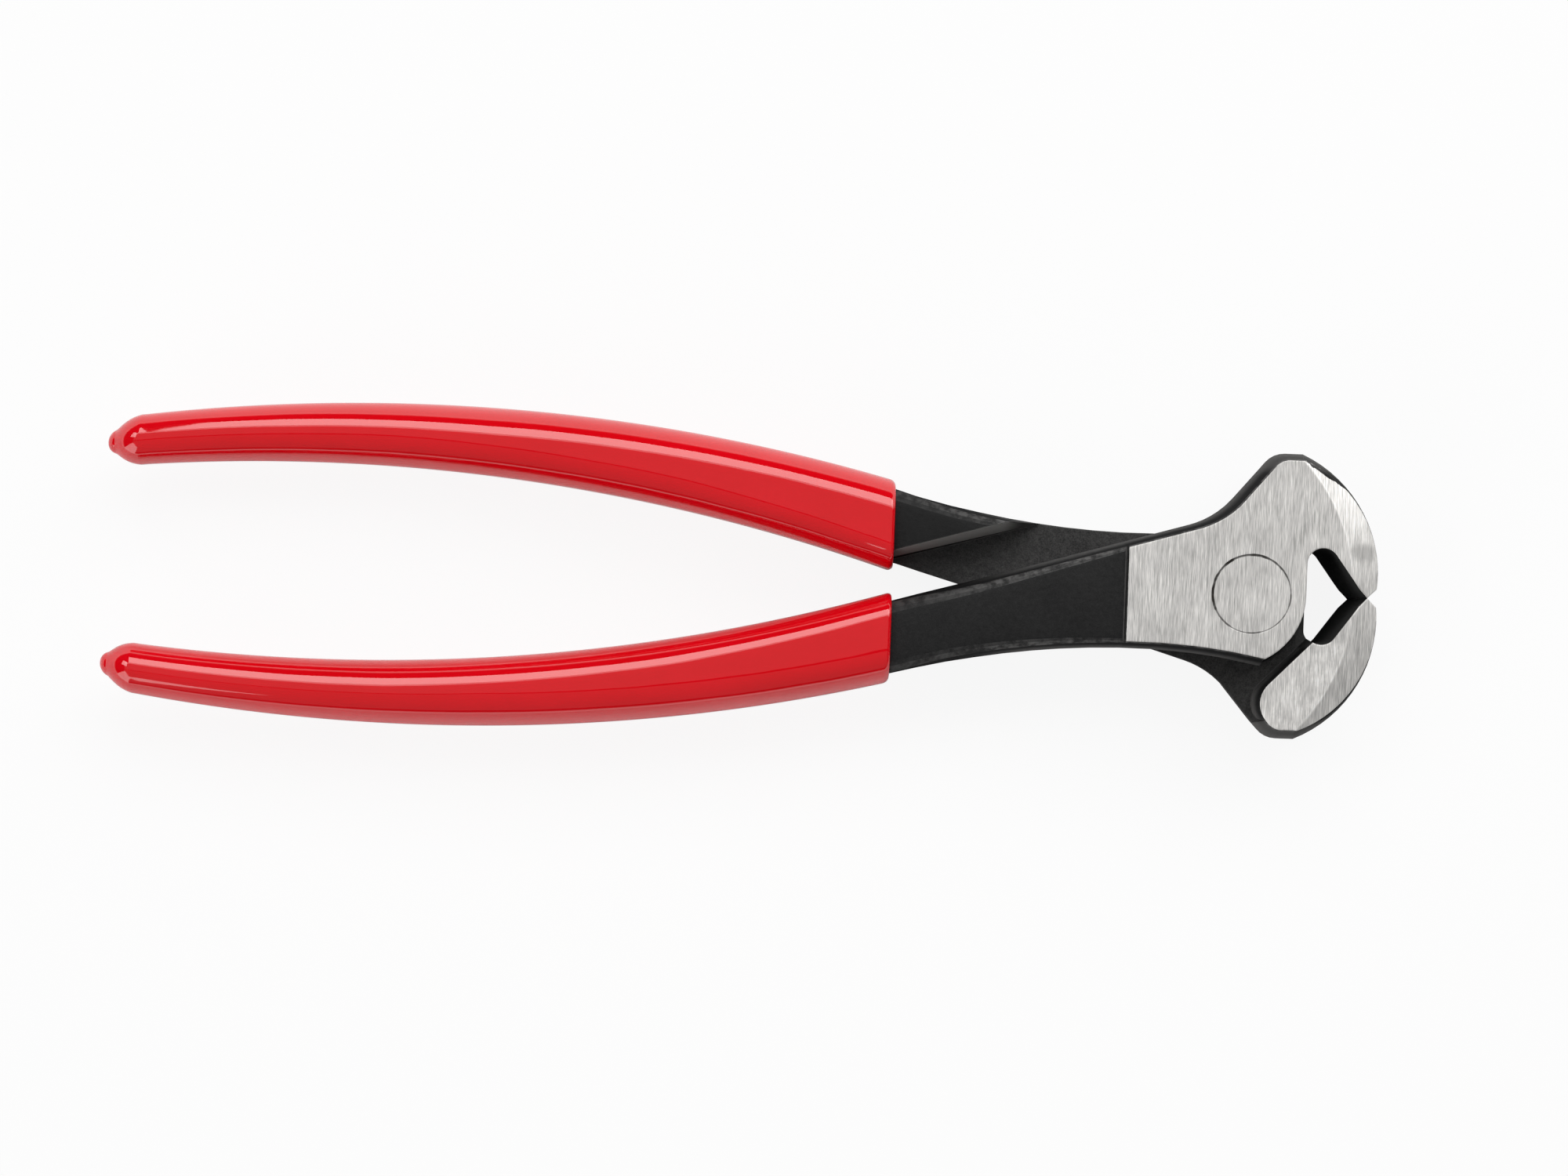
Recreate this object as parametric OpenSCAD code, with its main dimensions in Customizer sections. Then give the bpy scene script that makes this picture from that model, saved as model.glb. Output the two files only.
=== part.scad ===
// End cutting nippers: two identical forged levers that cross in a lap joint on one flush rivet,
// with a dip coated grip on each handle. X runs along the tool towards the jaws, Z is the rivet axis,
// and the origin lies where that axis meets the ground face that the tool rests on.
// The lever is drawn as the upper one, with its jaw at +Y and its handle at -Y. The lower lever is
// the same forging turned over about X.

/* [Overall] */
// Length over everything, jaw front to grip end
overall_length = 200; // [180:1:220]
// Distance from the rivet axis to the front of the jaws
jaw_reach = 20; // [19:0.5:22]
// Thickness of the head over its two ground faces
head_thickness = 22; // [18:0.5:26]
// Half the width of the head across the two jaws
head_half_width = 22.5; // [21.5:0.1:23.5]

/* [Head outline] */
// Radius of the rounded jaw front, at the parting line of the forging
front_radius = 20.8; // [20.2:0.1:22]
// How far the jaw front draws in from parting line to face
front_draft = 1.8; // [1:0.1:2]
// Centre of the jaw front along the tool
front_centre_x = 0.4; // [-0.5:0.1:1]
// Centre of the jaw front across the tool
front_centre_y = 3.4; // [2.5:0.1:4]
// Slope of the shoulder that rises to the jaw, degrees
shoulder_angle = 50; // [44:1:54]
// Height of the shoulder line over the rivet
shoulder_rise = 17.8; // [17:0.1:19]
// Radius that rounds the top of the shoulder
crown_radius = 4; // [2:0.5:5]
// Radius of the hollow between shank and shoulder
throat_radius = 14; // [10:0.5:16]
// Slope of the straight inner edge of the shank, degrees
shank_angle = 16.6; // [15:0.2:18]
// Height of the line of that edge over the rivet
shank_rise = 13.4; // [13:0.1:14]
// Least distance of the lower edge from the tool axis
waist_half_width = 9.1; // [8.5:0.1:10]
// Distance of that waist behind the rivet
waist_setback = 17; // [12:1:22]
// Radius of the lower edge behind the waist
shank_under_radius = 133; // [110:1:160]
// Radius of the lower edge in front of the waist
plate_under_radius = 95; // [80:1:120]
// How far forging draft draws the side walls in from parting line to face
draft_inset = 0.9; // [0.4:0.1:1.2]
// How much more the crown of the jaw draws in
crown_draft = 0.6; // [0:0.1:0.8]
// Radius on the long edges of the head, partly ground away
head_edge_radius = 1.8; // [1.2:0.1:2.2]
// Depth that grinding takes off each head face
grind_depth = 0.8; // [0.4:0.1:1]

/* [Jaw] */
// Distance of the cutting edge from the rivet axis
edge_reach = 18; // [17.5:0.1:18.5]
// Gap between the two cutting edges of the closed tool
edge_gap = 0.04; // [0.02:0.02:0.2]
// Height of the ground inner facet behind the cutting edge
inner_facet_height = 1.4; // [1:0.1:1.8]
// Slope of the outer facet in front of the cutting edge, degrees
outer_facet_angle = 43; // [38:1:48]
// Slope of the inner jaw wall, degrees
jaw_wall_angle = 54; // [50:1:58]
// Radius of the mouth between plate and jaw
mouth_radius = 2.5; // [2:0.1:2.8]
// Distance of the mouth wall from the rivet axis
mouth_setback = 8.45; // [8:0.05:8.7]
// Height of the centre of the mouth radius over the tool axis
mouth_height = 5; // [4.5:0.1:5.4]
// Radius of the mouth at the parting line of the forging
mouth_mid_radius = 1.8; // [1.5:0.1:2]
// Radius of the rounded front of the joint plate, at the head face
plate_front_radius = 11.3; // [10.5:0.1:11.5]
// How far the plate front stands out at the parting line
plate_front_draft = 1.3; // [0.8:0.1:1.4]
// Radius at which the ground jaw bevel starts, about a point on the tool axis
bevel_radius = 30.4; // [29.5:0.1:32]
// Distance of that point behind the rivet
bevel_setback = 14.6; // [13.5:0.1:15.5]
// Slope of the jaw bevel, degrees
bevel_angle = 17.5; // [12:0.5:22]

/* [Lap joint] */
// Play between the two lap faces
lap_gap = 0.1; // [0.04:0.02:0.2]
// Radius of the round end of the jaw beside the lap recess
nose_radius = 4.1; // [3.6:0.1:4.4]
// Distance of the nose centre ahead of the rivet
nose_x = 5.95; // [5.4:0.05:6.4]
// Height of the nose centre over the tool axis
nose_y = 16.85; // [16.4:0.05:17.4]
// Slope of the recess wall from nose to mouth, degrees
recess_wall_angle = 45.6; // [43:0.2:48]
// Slope of the recess end across the shank, degrees
ramp_angle = 15.5; // [14:0.5:18]
// Height of the line of the recess end over the rivet
ramp_rise = 19; // [18:0.2:20]
// Lean of the recess end wall, degrees
ramp_lean = 9; // [4:1:12]

/* [Rivet] */
// Diameter of the rivet shank
rivet_shank_d = 10; // [8:0.1:10.8]
// Diameter of the upset rivet heads, ground flush
rivet_head_d = 12.1; // [11.4:0.1:13]
// Depth of the upset heads
rivet_head_depth = 2.4; // [1.5:0.1:3]
// Running clearance of the upper lever on the rivet, on the radius
rivet_clearance = 0.05; // [0.03:0.01:0.08]

/* [Handles] */
// Radius of the bow of the handles
bow_radius = 300; // [260:5:360]
// Distance of the top of the bow behind the rivet
bow_setback = 138; // [128:1:146]
// Height of the middle of the handle over the tool axis at the top of the bow
bow_height = 20.3; // [18:0.1:23]
// Distance behind the rivet at which the plain handle starts
root_setback = 60; // [58:1:64]
// Length over which the shank turns into the handle
root_blend = 18; // [14:1:22]
// Width of the steel handle at its root
root_width = 11.3; // [10.5:0.1:12]
// Thickness of the steel handle at its root
root_thickness = 14.6; // [13:0.1:16]
// Width of the steel handle at its tail
tail_width = 5.2; // [4.6:0.1:6]
// Thickness of the steel handle at its tail
tail_thickness = 7.2; // [6:0.1:8.4]
// Length of the rounded steel tail
tail_round = 4; // [3:0.5:6]
// Edge radius of the steel at the root of the handle
root_edge_radius = 2.8; // [2:0.1:3.4]
// Edge radius of the steel along the handle
handle_edge_radius = 2.5; // [2:0.1:2.6]
// Edge radius of the black shank beside the head
shank_edge_radius = 1; // [0.6:0.1:1.4]
// Distance of the step between ground head and black shank behind the rivet
step_setback = 19.2; // [18:0.1:21]
// Height of that step
step_height = 0.6; // [0.3:0.1:1]
// Run of the sloping wall of that step
step_run = 0.35; // [0.2:0.05:0.6]

/* [Grips] */
// Wall of the dip coat
grip_wall = 1.3; // [1:0.1:1.8]
// Distance of the front of the grips behind the rivet
grip_setback = 55.6; // [54:0.2:57]
// Rounding of the grip front
grip_lip = 0.9; // [0.5:0.1:1.2]
// Edge radius of the coat on the outer side of the handle
grip_outer_radius = 5.2; // [4:0.1:5.6]
// Edge radius of the coat on the inner side, at the root of the handle
grip_root_radius = 4.2; // [3.4:0.1:5]
// Edge radius of the coat on the inner side, along the handle
grip_inner_radius = 4.8; // [4:0.1:5.2]
// Length of the rounded grip end with its drip point
grip_end_length = 6.2; // [5:0.1:8]
// Coat left past the end of the steel, drip point included
grip_end_cover = 3.6; // [3:0.1:5]

/* [Hidden] */
$fn = 96;
steel_black = "dimgray";
rivet_steel = "silver";
grip_red = "crimson";
// Overrun of every cut past the face that it opens
cut_over = 4;
// Reach of the cutting blocks, past every part of the head
block_reach = overall_length;
// Length over which the slope of an outline is read
slope_probe = head_half_width / 100;
mid_z = head_thickness / 2;
tail_x = jaw_reach - overall_length + grip_end_cover;
grip_tip_x = jaw_reach - overall_length;
root_x = -root_setback;
grip_front_x = -grip_setback;
step_x = -step_setback;
// Points on each rounded long edge of a section
edge_points = 6;
// Flat that is left on each side of the coat between its rounded edges
least_flat = grip_wall / 6;
// Share of the handle over which its edge radius grows
edge_blend_share = 0.25;
// Least share of the section that is left at the end of the steel tail
tail_end_share = 0.3;
// Rounding of the steel tail, from its start to its end
tail_round_shares = [0.35, 0.62, 0.84, 1];
// Places of the rings of the grip front, as shares of the lip, and how much of the wall they have
lip_place_shares = [0, 0.15, 0.5, 1];
lip_wall_shares = [0.45, 0.75, 0.95, 1];
// Rings of the grip end: distance from the tip and size, as shares of its length and section
end_place_shares = [0.85, 0.65, 0.52, 0.42, 0.34, 0.26, 0.19, 0.116, 0.05, 0];
end_size_shares = [0.985, 0.935, 0.85, 0.74, 0.62, 0.52, 0.455, 0.37, 0.25, 0.11];

// Corners of the jaw side outline, where its straight lines meet
shoulder_slope = tan(shoulder_angle);
shank_slope = tan(shank_angle);
throat_x = (shoulder_rise - shank_rise) / (shank_slope - shoulder_slope);
throat_run = throat_radius * tan((shoulder_angle - shank_angle) / 2);
throat_start_x = throat_x - throat_run * cos(shank_angle);
throat_end_x = throat_x + throat_run * cos(shoulder_angle);
throat_centre_x = throat_start_x - throat_radius * sin(shank_angle);
throat_centre_y = shank_rise + shank_slope * throat_start_x + throat_radius * cos(shank_angle);
crown_x = (head_half_width - shoulder_rise) / shoulder_slope;
crown_run = crown_radius * tan(shoulder_angle / 2);
crown_start_x = crown_x - crown_run * cos(shoulder_angle);
crown_end_x = crown_x + crown_run;

// Outlines of the lever at its parting line, seen along Z
function bow_drop(x) = bow_radius - sqrt(bow_radius ^ 2 - (x + bow_setback) ^ 2);
function handle_middle(x) = bow_drop(x) - bow_height;
function along_handle(x) = (root_x - x) / (root_x - tail_x);
function handle_half(x) = (root_width + (tail_width - root_width) * along_handle(x)) / 2;
function shank_share(x) =
    let (t = max(0, min(1, (x - root_x) / root_blend)))
    t * t * (3 - 2 * t);
function head_edge(x) =
    x >= crown_end_x ? head_half_width :
    x >= crown_start_x
        ? head_half_width - crown_radius + sqrt(crown_radius ^ 2 - (x - crown_end_x) ^ 2) :
    x >= throat_end_x ? shoulder_rise + shoulder_slope * x :
    x >= throat_start_x
        ? throat_centre_y - sqrt(throat_radius ^ 2 - (x - throat_centre_x) ^ 2) :
    shank_rise + shank_slope * x;
function head_under(x) =
    let (r = x < -waist_setback ? shank_under_radius : plate_under_radius)
    -waist_half_width - (x + waist_setback) ^ 2 / (2 * r);
function blend(a, b, share) = a + (b - a) * share;
function jaw_side(x) =
    x <= root_x ? handle_middle(x) + handle_half(x)
    : blend(handle_middle(x) + handle_half(x), head_edge(x), shank_share(x));
function hand_side(x) =
    x <= root_x ? handle_middle(x) - handle_half(x)
    : blend(handle_middle(x) - handle_half(x), head_under(x), shank_share(x));

// Half thickness and edge radius of the forging
function handle_half_thickness(x) =
    (root_thickness + (tail_thickness - root_thickness) * along_handle(x)) / 2;
function shank_half_thickness(x) =
    blend(root_thickness / 2, mid_z - step_height, (x - root_x) / (step_x - step_run - root_x));
function half_thickness(x) =
    x > step_x - step_run / 2 ? mid_z + grind_depth :
    x > root_x ? shank_half_thickness(x) :
    handle_half_thickness(x);
function edge_radius(x) =
    x > step_x - step_run / 2 ? head_edge_radius :
    x > root_x
        ? blend(root_edge_radius, shank_edge_radius, (x - root_x) / (step_x - root_x)) :
    blend(root_edge_radius, handle_edge_radius, min(1, along_handle(x) / edge_blend_share));
function coat_inner_radius(x) =
    blend(grip_root_radius, grip_inner_radius, max(0, min(1, along_handle(x) / edge_blend_share)));
// Edge radius of a section with a coat on it, where a thinner coat follows the steel more closely
function coated_radius(x, coat, grip_radius, half) =
    coat == 0 ? edge_radius(x) :
    min(blend(edge_radius(x), grip_radius, coat / grip_wall), half - least_flat);
// Height of that rounded edge, which on the coat is as much taller as the section is
function edge_height(radius, coat, thick, half) = coat == 0 ? radius : radius * thick / half;
// Draft fades out where the shank turns into the handle, and grows on the crown of the jaw
function draft(x) = draft_inset * shank_share(x);
function crown_share(x) = max(0, min(1, (x - crown_start_x) / (crown_end_x - crown_start_x)));
function lean_factor(low, high) = sqrt(1 + ((high - low) / (2 * slope_probe)) ^ 2);
function jaw_lean(x) = lean_factor(jaw_side(x - slope_probe), jaw_side(x + slope_probe));
function hand_lean(x) = lean_factor(hand_side(x - slope_probe), hand_side(x + slope_probe));

// One rounded long edge of a section, from the side wall (turn 0) to the face (turn 1)
function edge_arc(side_y, towards, thick, radius, height, inset, lean) =
    [for (i = [0 : edge_points - 1])
        let (a = 90 * i / (edge_points - 1))
        [side_y + towards * lean * (inset + radius * (1 - cos(a))), thick - height * (1 - sin(a))]];
function reversed(list) = [for (i = [len(list) - 1 : -1 : 0]) list[i]];

// Closed section of the lever across X: parting point, two edges, parting point, two edges
function section(x, coat, size) =
    let (
        mid = (jaw_side(x) + hand_side(x)) / 2,
        half = (jaw_side(x) - hand_side(x)) / 2,
        jaw_half = half + coat * jaw_lean(x),
        hand_half = half + coat * hand_lean(x),
        jaw_y = mid + jaw_half * size,
        hand_y = mid - hand_half * size,
        thick = (half_thickness(x) + coat) * size,
        jaw_radius = coated_radius(x, coat, coat_inner_radius(x), jaw_half) * size,
        hand_radius = coated_radius(x, coat, grip_outer_radius, hand_half) * size,
        jaw_height = edge_height(jaw_radius, coat, thick, jaw_half * size),
        hand_height = edge_height(hand_radius, coat, thick, hand_half * size),
        jaw_inset = (draft(x) + crown_draft * crown_share(x)) * (thick - jaw_height) / thick,
        hand_inset = draft(x) * (thick - hand_height) / thick,
        jaw_edge = edge_arc(jaw_y, -1, thick, jaw_radius, jaw_height, jaw_inset, jaw_lean(x)),
        hand_edge = edge_arc(hand_y, 1, thick, hand_radius, hand_height, hand_inset, hand_lean(x)),
        top = concat([[jaw_y, 0]], jaw_edge, reversed(hand_edge)),
        bottom = concat([[hand_y, 0]], hand_edge, reversed(jaw_edge))
    )
    concat(
        [for (p = top) [x, p[0], mid_z + p[1]]],
        [for (p = bottom) [x, p[0], mid_z - p[1]]]);

// Skin of a row of closed rings, each turned the same way, and the flat ends of the row
function skin(rings, count) =
    [for (r = [0 : rings - 2], i = [0 : count - 1])
        let (
            a = r * count + i,
            b = r * count + (i + 1) % count,
            c = a + count,
            d = b + count
        )
        each [[a, d, b], [a, c, d]]];
function first_end(count) = [for (i = [1 : count - 2]) [0, i, i + 1]];
function last_end(rings, count) =
    let (start = (rings - 1) * count)
    [for (i = [1 : count - 2]) [start, start + i + 1, start + i]];
module loft(rings) {
    count = len(rings[0]);
    polyhedron(
        [for (ring = rings) each ring],
        concat(first_end(count), skin(len(rings), count), last_end(len(rings), count)));
}

// Places of the sections along X, from the tail to past the jaws
handle_steps = 19;
shank_steps = 8;
throat_steps = 6;
crown_steps = 4;
mouth_steps = 16;
tail_start_x = tail_x + tail_round;
handle_xs = [for (i = [0 : handle_steps])
    blend(tail_start_x, grip_front_x - grip_lip, i / handle_steps)];
lip_xs = reversed([for (s = lip_place_shares) grip_front_x - grip_lip * s]);
shank_xs = [for (i = [1 : shank_steps])
    blend(grip_front_x, step_x - step_run, i / shank_steps)];
plate_xs = [step_x, blend(step_x, throat_start_x, 0.5)];
throat_xs = [for (i = [0 : throat_steps]) blend(throat_start_x, throat_end_x, i / throat_steps)];
crown_xs = [for (i = [0 : crown_steps])
    crown_end_x - crown_radius * sin(shoulder_angle * (1 - i / crown_steps))];
front_xs = [jaw_reach + cut_over];
body_xs = concat(handle_xs, [for (i = [1 : len(lip_xs) - 1]) lip_xs[i]],
    shank_xs, plate_xs, throat_xs, crown_xs, front_xs);
tail_rings = [for (i = [len(tail_round_shares) - 1 : -1 : 0])
    let (t = tail_round_shares[i])
    section(tail_start_x - tail_round * t, 0, max(tail_end_share, sqrt(1 - t * t)))];

// The forging before any machining
module forging() {
    loft(concat(tail_rings, [for (x = body_xs) section(x, 0, 1)]));
}

function arc(cx, cy, r, from, to, steps) =
    [for (i = [0 : steps])
        let (a = from + (to - from) * i / steps)
        [cx + r * cos(a), cy + r * sin(a)]];

// Half of the mouth above the tool axis, seen along Z: plate front, round, jaw wall, inner facet, edge.
// The draft moves the plate front, and the round follows between it and the same jaw wall
wall_turn = 90 - jaw_wall_angle;
mouth_x = mouth_setback + mouth_radius;
wall_x = mouth_x + mouth_radius * cos(wall_turn);
wall_y = mouth_height + mouth_radius * sin(wall_turn);
wall_reach = wall_x * cos(wall_turn) + wall_y * sin(wall_turn);
facet_x = wall_x + (wall_y - inner_facet_height) / tan(jaw_wall_angle);
function mouth_ring(draft_out, radius, z) =
    let (
        front_x = mouth_setback + draft_out,
        centre_x = front_x + radius,
        centre_y = (wall_reach - radius - centre_x * cos(wall_turn)) / sin(wall_turn)
    )
    [for (p = concat(
        [[front_x, -edge_gap]],
        arc(centre_x, centre_y, radius, 180, wall_turn, mouth_steps),
        [[facet_x, inner_facet_height], [edge_reach, edge_gap / 2], [edge_reach, -edge_gap]]))
        [p[0], p[1], z]];

// Everything in front of the joint plate and below the jaw
module mouth_waste() {
    plate_centre_x = mouth_setback - plate_front_radius;
    front_run = jaw_reach + cut_over - edge_reach;
    loft([
        mouth_ring(0, mouth_radius, head_thickness + cut_over),
        mouth_ring(0, mouth_radius, head_thickness),
        mouth_ring(plate_front_draft, mouth_mid_radius, mid_z),
        mouth_ring(0, mouth_radius, 0),
        mouth_ring(0, mouth_radius, -cut_over)
    ]);
    translate([0, 0, -cut_over])
        linear_extrude(head_thickness + 2 * cut_over)
            polygon([
                [edge_reach, -edge_gap],
                [edge_reach, edge_gap / 2],
                [edge_reach + front_run, edge_gap / 2 + front_run * tan(outer_facet_angle)],
                [edge_reach + front_run, -edge_gap]
            ]);
    difference() {
        translate([plate_centre_x, -head_half_width, -cut_over])
            cube([jaw_reach + cut_over - plate_centre_x, head_half_width, head_thickness + 2 * cut_over]);
        translate([plate_centre_x, 0])
            rotate_extrude()
                polygon([
                    [0, -cut_over],
                    [plate_front_radius, -cut_over],
                    [plate_front_radius, 0],
                    [plate_front_radius + plate_front_draft, mid_z],
                    [plate_front_radius, head_thickness],
                    [plate_front_radius, head_thickness + cut_over],
                    [0, head_thickness + cut_over]
                ]);
    }
}

// The part of the jaw that stands beside the lap recess, seen along Z. Its round end runs out square
// to the shoulder
module jaw_root_profile() {
    run_out_angle = 90 + shoulder_angle;
    wall_x = nose_x - nose_radius * sin(recess_wall_angle);
    wall_y = nose_y - nose_radius * cos(recess_wall_angle);
    wall_run = jaw_reach - wall_x;
    translate([nose_x, nose_y])
        circle(r = nose_radius);
    polygon([
        [wall_x, wall_y],
        [wall_x + wall_run, wall_y - wall_run * tan(recess_wall_angle)],
        [block_reach, wall_y - wall_run * tan(recess_wall_angle)],
        [block_reach, block_reach],
        [nose_x + block_reach * cos(run_out_angle), nose_y + block_reach * sin(run_out_angle)],
        [nose_x, nose_y]
    ]);
}

// The lap recess below the joint plate, milled up to the jaw and to a leaning wall across the shank
module lap_recess() {
    lap_z = mid_z + lap_gap / 2;
    intersection() {
        translate([0, 0, -cut_over])
            linear_extrude(lap_z + cut_over)
                difference() {
                    square(2 * block_reach, center = true);
                    jaw_root_profile();
                }
        translate([0, -ramp_rise, lap_z])
            rotate([0, 0, -ramp_angle])
                rotate([-ramp_lean, 0, 0])
                    translate([-block_reach, 0, -block_reach])
                        cube([2 * block_reach, block_reach, 2 * block_reach]);
    }
}

// What the forging has outside the rounded, drafted front of the jaw
module front_waste() {
    difference() {
        translate([crown_x, 0, -cut_over])
            cube([block_reach, block_reach, head_thickness + 2 * cut_over]);
        translate([front_centre_x, front_centre_y])
            rotate_extrude()
                polygon([
                    [0, 0],
                    [front_radius - front_draft, 0],
                    [front_radius, mid_z],
                    [front_radius - front_draft, head_thickness],
                    [0, head_thickness]
                ]);
    }
    translate([jaw_reach, -block_reach / 2, -cut_over])
        cube([block_reach, block_reach, head_thickness + 2 * cut_over]);
}

// What grinding takes off above the upper head face: the flat face and the conical jaw bevel
module face_waste() {
    bevel_run = jaw_reach + cut_over + bevel_setback - bevel_radius;
    translate([step_x - step_run, -block_reach / 2, head_thickness])
        cube([block_reach, block_reach, cut_over]);
    translate([-bevel_setback, 0, head_thickness])
        rotate([0, 0, -90])
            rotate_extrude(angle = 180)
                polygon([
                    [bevel_radius, 0],
                    [bevel_radius + bevel_run, -bevel_run * tan(bevel_angle)],
                    [bevel_radius + bevel_run, cut_over],
                    [bevel_radius, cut_over]
                ]);
}

// The rivet's own shape, or the hole for it when a clearance is given
module rivet_body(clearance, overrun) {
    shank_r = rivet_shank_d / 2 + clearance;
    head_r = rivet_head_d / 2 + clearance;
    translate([0, 0, -overrun])
        cylinder(r = shank_r, h = head_thickness + 2 * overrun);
    cylinder(r1 = head_r, r2 = shank_r, h = rivet_head_depth);
    translate([0, 0, head_thickness - rivet_head_depth])
        cylinder(r1 = shank_r, r2 = head_r, h = rivet_head_depth);
}

// A lever, machined from the forging, drawn as the upper one
module lever(clearance) {
    difference() {
        forging();
        face_waste();
        translate([0, 0, head_thickness])
            mirror([0, 0, 1])
                face_waste();
        front_waste();
        mouth_waste();
        lap_recess();
        rivet_body(clearance, cut_over);
    }
}

// Turns a piece of the upper lever over about X, which makes it the lower one
module turned_over() {
    translate([0, 0, head_thickness])
        rotate([180, 0, 0])
            children();
}

// The dip coat of one handle: a sleeve on the steel, closed by a round end with a drip point
module grip() {
    body_start_x = grip_tip_x + grip_end_length;
    end_slope = (handle_middle(tail_x) - handle_middle(body_start_x)) / (tail_x - body_start_x);
    end_rings = [for (i = [len(end_place_shares) - 1 : -1 : 0])
        let (
            x = grip_tip_x + grip_end_length * end_place_shares[i],
            ring = section(body_start_x, grip_wall, end_size_shares[i])
        )
        [for (p = ring) [x, p[1] + end_slope * (x - body_start_x), p[2]]]];
    coat_xs = [for (x = handle_xs) if (x > body_start_x) x];
    coat_rings = concat(
        [section(body_start_x, grip_wall, 1)],
        [for (x = coat_xs) section(x, grip_wall, 1)],
        [for (i = [len(lip_xs) - 2 : -1 : 0])
            section(grip_front_x - grip_lip * lip_place_shares[i], grip_wall * lip_wall_shares[i], 1)]);
    steel_rings = concat(tail_rings, [for (x = handle_xs) section(x, 0, 1)],
        [for (i = [1 : len(lip_xs) - 1]) section(lip_xs[i], 0, 1)]);
    loft(concat(end_rings, coat_rings, reversed(steel_rings)));
}

module upper_lever() {
    color(steel_black)
        lever(rivet_clearance);
}

module lower_lever() {
    color(steel_black)
        turned_over()
            lever(0);
}

module pivot_rivet() {
    color(rivet_steel)
        rivet_body(0, 0);
}

module upper_grip() {
    color(grip_red)
        grip();
}

module lower_grip() {
    color(grip_red)
        turned_over()
            grip();
}

lower_lever();
upper_lever();
pivot_rivet();
lower_grip();
upper_grip();
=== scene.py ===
import math
import bmesh
import bpy
from mathutils import Matrix, Vector


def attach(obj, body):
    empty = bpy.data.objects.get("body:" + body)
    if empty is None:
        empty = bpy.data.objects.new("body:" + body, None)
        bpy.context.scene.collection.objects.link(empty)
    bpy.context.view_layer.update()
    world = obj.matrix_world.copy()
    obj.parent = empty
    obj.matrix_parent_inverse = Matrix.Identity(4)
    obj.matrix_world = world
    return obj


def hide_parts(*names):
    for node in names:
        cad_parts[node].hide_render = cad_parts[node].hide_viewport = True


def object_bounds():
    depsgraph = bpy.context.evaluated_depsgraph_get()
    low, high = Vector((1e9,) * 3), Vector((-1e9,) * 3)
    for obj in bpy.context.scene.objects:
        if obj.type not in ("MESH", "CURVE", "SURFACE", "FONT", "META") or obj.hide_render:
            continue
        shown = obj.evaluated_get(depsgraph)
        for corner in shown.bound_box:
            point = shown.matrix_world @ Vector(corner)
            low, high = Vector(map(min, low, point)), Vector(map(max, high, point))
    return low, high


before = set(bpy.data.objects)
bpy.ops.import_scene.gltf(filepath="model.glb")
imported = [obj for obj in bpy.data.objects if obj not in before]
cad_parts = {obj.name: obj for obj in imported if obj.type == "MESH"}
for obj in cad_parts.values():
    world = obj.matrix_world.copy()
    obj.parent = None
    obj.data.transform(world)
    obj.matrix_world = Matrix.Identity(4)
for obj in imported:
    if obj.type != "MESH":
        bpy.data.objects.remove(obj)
cad_box = [list(corner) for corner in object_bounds()]


# Levers
# Two like drop forged steel levers, blasted and phosphated black all over, then ground bright across the
# tool on the head faces, the jaw bevels and beside the cutting edges. They cross in a lap joint.

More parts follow.
